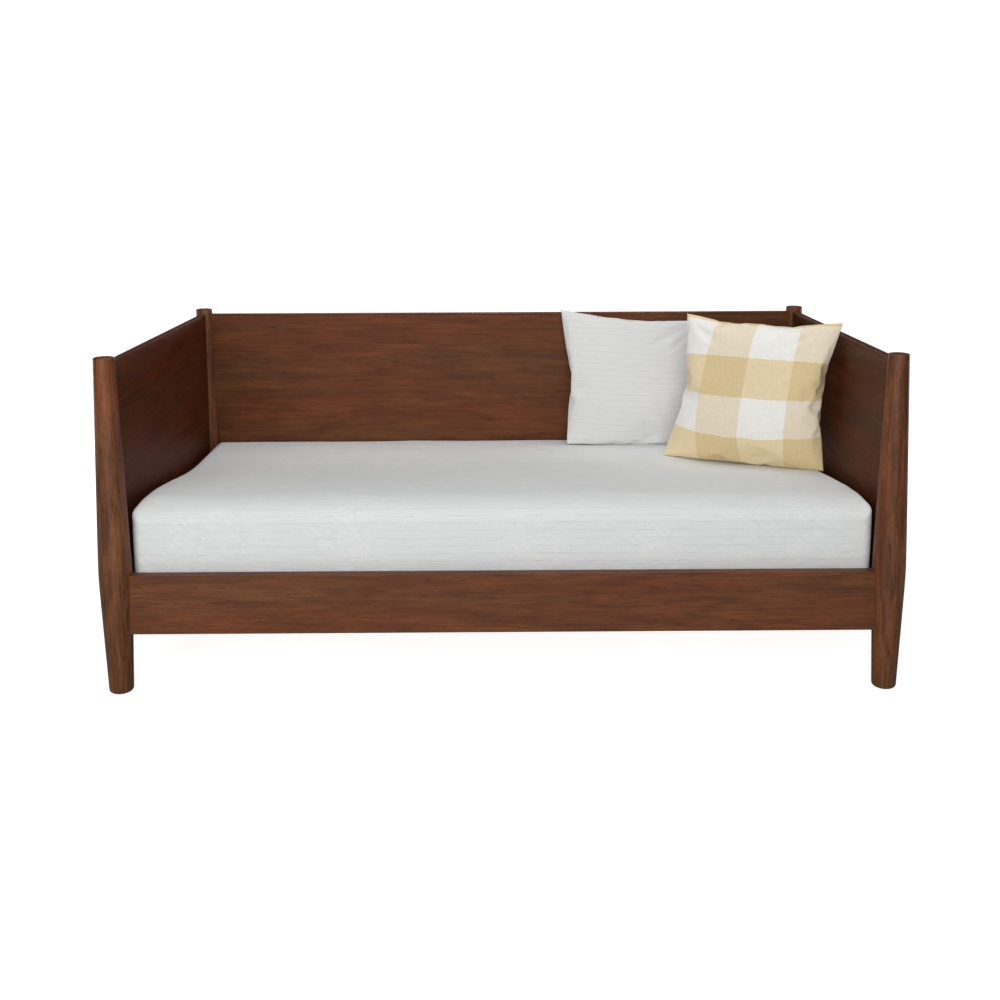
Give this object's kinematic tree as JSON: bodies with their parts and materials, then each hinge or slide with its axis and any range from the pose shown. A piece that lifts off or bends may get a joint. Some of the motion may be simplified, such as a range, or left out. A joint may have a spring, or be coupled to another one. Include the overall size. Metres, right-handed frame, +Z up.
{
  "type": "daybed",
  "caption": "Walnut daybed with turned corner posts, full-height back and side panels, a front rail, a slatted base, a twin mattress and loose cushions.",
  "frame": {"origin": "on the floor, at the middle of the four posts", "axes": "+X along the bed towards its right-hand end, +Y from the open front towards the back panel, +Z up"},
  "size_m": [2.067, 1.118, 0.9022],
  "materials": {
    "walnut": "satin",
    "pine": "matte",
    "steel": "satin",
    "nylon": "matte",
    "webbing": "matte",
    "foam": "matte",
    "quilting": "matte",
    "striped_cotton": "matte",
    "checked_cotton": "matte"
  },
  "bodies": {
    "frame": {"post_front_left": "walnut", "glide_front_left": "nylon", "post_front_right": "walnut", "glide_front_right": "nylon", "post_rear_left": "walnut", "glide_rear_left": "nylon", "post_rear_right": "walnut", "glide_rear_right": "nylon", "back_panel": "walnut", "back_panel_lipping": "walnut", "left_side_panel": "walnut", "left_side_lipping": "walnut", "right_side_panel": "walnut", "right_side_lipping": "walnut", "front_rail": "walnut", "front_cleat": "pine", "rear_cleat": "pine", "slat_01": "pine", "slat_02": "pine", "slat_03": "pine", "slat_04": "pine", "slat_05": "pine", "slat_06": "pine", "slat_07": "pine", "slat_08": "pine", "slat_09": "pine", "slat_10": "pine", "slat_11": "pine", "slat_12": "pine", "slat_strap_front": "webbing", "slat_strap_rear": "webbing", "rail_bolt_left_lower": "steel", "rail_washer_left_lower": "steel", "rail_nut_left_lower": "steel", "rail_bolt_left_upper": "steel", "rail_washer_left_upper": "steel", "rail_nut_left_upper": "steel", "rail_bolt_right_lower": "steel", "rail_washer_right_lower": "steel", "rail_nut_right_lower": "steel", "rail_bolt_right_upper": "steel", "rail_washer_right_upper": "steel", "rail_nut_right_upper": "steel", "panel_bolt_left_lower": "steel", "panel_washer_left_lower": "steel", "panel_nut_left_lower": "steel", "panel_bolt_left_upper": "steel", "panel_washer_left_upper": "steel", "panel_nut_left_upper": "steel", "panel_bolt_right_lower": "steel", "panel_washer_right_lower": "steel", "panel_nut_right_lower": "steel", "panel_bolt_right_upper": "steel", "panel_washer_right_upper": "steel", "panel_nut_right_upper": "steel"},
    "mattress": {"mattress_core": "foam", "mattress_cover": "quilting"},
    "left_pillow": {"left_pillow": "striped_cotton"},
    "right_pillow": {"right_pillow": "checked_cotton"}
  },
  "joints": [
    {"name": "mattress_lift", "type": "slide", "parent": "frame", "child": "mattress", "axis": [0, 0, 1], "range_m": [0, 0.66]},
    {"name": "left_pillow_lift", "type": "slide", "parent": "mattress", "child": "left_pillow", "axis": [0, 0, 1], "range_m": [0, 0.45]},
    {"name": "right_pillow_lift", "type": "slide", "parent": "mattress", "child": "right_pillow", "axis": [0, 0, 1], "range_m": [0, 0.45]}
  ]
}
